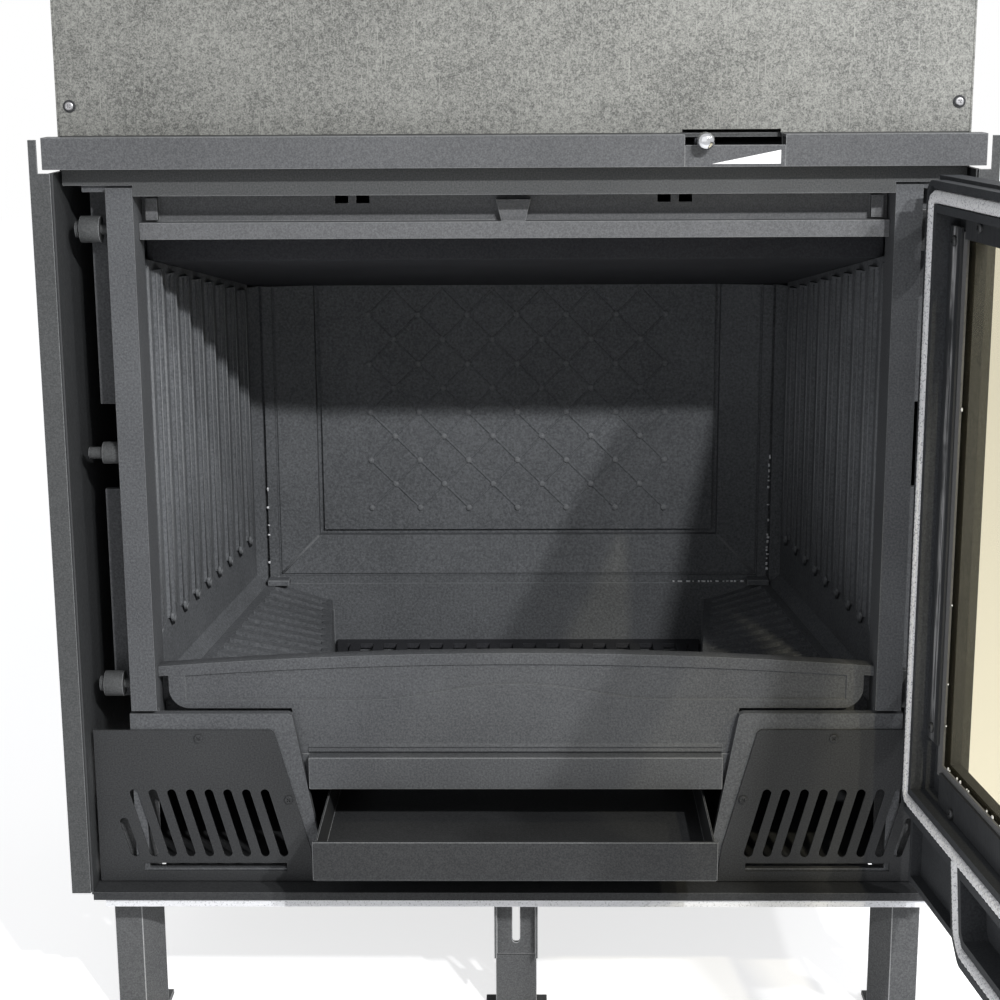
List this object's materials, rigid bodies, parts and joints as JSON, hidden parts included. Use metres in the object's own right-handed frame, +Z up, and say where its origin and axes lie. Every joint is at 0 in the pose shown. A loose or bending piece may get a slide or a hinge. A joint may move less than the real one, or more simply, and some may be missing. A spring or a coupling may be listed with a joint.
{
  "type": "fireplace insert",
  "caption": "Cast iron fireplace insert on legs: ribbed firebox, vented front, glazed side-hung door standing open, pull-out ash drawer and sheet casing with flue and warm air outlets.",
  "frame": {"origin": "on the floor, at the middle of the front middle foot's pad", "axes": "+Z up, +X towards the hinge side, -Y out of the firebox towards the room"},
  "size_m": [0.7693, 1.1136, 0.9116],
  "materials": {
    "front_iron": "matt stove paint",
    "plate_iron": "cast surface, matt",
    "door_iron": "matt stove paint",
    "painted_sheet": "matt stove paint",
    "zinc_sheet": "galvanised",
    "bright_steel": "plain",
    "knob_chrome": "polished",
    "rope": "braided fibre",
    "fibre": "pressed fibre",
    "glass": "heat-proof, amber tint",
    "handle_grip": "matt"
  },
  "bodies": {
    "body": {"front_frame": "front_iron", "ash_ledge": "front_iron", "log_retainer": "front_iron", "side_plate_left": "plate_iron", "side_plate_right": "plate_iron", "back_plate": "plate_iron", "hearth_base": "plate_iron", "side_grate_left": "plate_iron", "side_grate_right": "plate_iron", "centre_grate": "plate_iron", "smoke_baffle": "plate_iron", "firebox_body": "plate_iron", "firebox_roof": "plate_iron", "flue_collar": "plate_iron", "header_rail": "painted_sheet", "lintel": "painted_sheet", "flange_left": "painted_sheet", "flange_right": "painted_sheet", "base_tray": "painted_sheet", "vent_plate_left": "painted_sheet", "vent_plate_right": "painted_sheet", "air_deflector": "painted_sheet", "leg_front_left": "painted_sheet", "leg_front_right": "painted_sheet", "leg_middle": "painted_sheet", "foot_middle": "painted_sheet", "leg_rear_left": "painted_sheet", "leg_rear_right": "painted_sheet", "hinge_brackets": "painted_sheet", "grate_clips": "painted_sheet", "casing_left": "zinc_sheet", "casing_right": "zinc_sheet", "casing_back": "zinc_sheet", "hood_front": "zinc_sheet", "hood_top": "zinc_sheet", "air_spigot_left": "zinc_sheet", "air_spigot_right": "zinc_sheet", "panel_screws": "bright_steel", "pan_runners": "bright_steel", "leg_bolts": "bright_steel", "hinge_pins": "bright_steel", "latch_pins": "bright_steel", "base_seal": "fibre"},
    "door": {"door_frame": "door_iron", "door_rope": "rope", "door_glass": "glass", "glass_seal": "fibre", "glass_clamps": "painted_sheet", "clamp_screws": "bright_steel"},
    "latch": {"latch_bar": "bright_steel"},
    "handle": {"handle_spindle": "bright_steel", "door_handle": "handle_grip"},
    "drawer": {"ash_pan": "painted_sheet", "ash_pan_front": "painted_sheet"},
    "air_control": {"air_slide": "bright_steel", "air_knob": "knob_chrome"},
    "roller_top": {"latch_roller_top": "bright_steel"},
    "roller_bottom": {"latch_roller_bottom": "bright_steel"}
  },
  "joints": [
    {"name": "door_hinge", "type": "hinge", "parent": "body", "child": "door", "pos_m": [0.3144, -0.049, 0.46], "axis": [0, 0, 1], "range_deg": [-68, 15]},
    {"name": "latch_slide", "type": "slide", "parent": "door", "child": "latch", "axis": [0, 0, 1], "range_m": [-0.008, 0]},
    {"name": "handle_turn", "type": "hinge", "parent": "door", "child": "handle", "pos_m": [0.39834, -0.63057, 0.47], "axis": [0.9931, 0.1175, 0], "range_deg": [0, 40]},
    {"name": "drawer_slide", "type": "slide", "parent": "body", "child": "drawer", "axis": [0, -1, 0], "range_m": [-0.08, 0.24]},
    {"name": "air_slide_travel", "type": "slide", "parent": "body", "child": "air_control", "axis": [1, 0, 0], "range_m": [-0.01, 0.054]},
    {"name": "roller_top_spin", "type": "hinge", "parent": "body", "child": "roller_top", "pos_m": [-0.3145, -0.01, 0.64], "axis": [1, 0, 0], "continuous": true},
    {"name": "roller_bottom_spin", "type": "hinge", "parent": "body", "child": "roller_bottom", "pos_m": [-0.3145, -0.01, 0.285], "axis": [1, 0, 0], "continuous": true}
  ],
  "couplings": [
    {"joint": "latch_slide", "follows": "handle_turn", "m_per_rad": -0.011459}
  ]
}
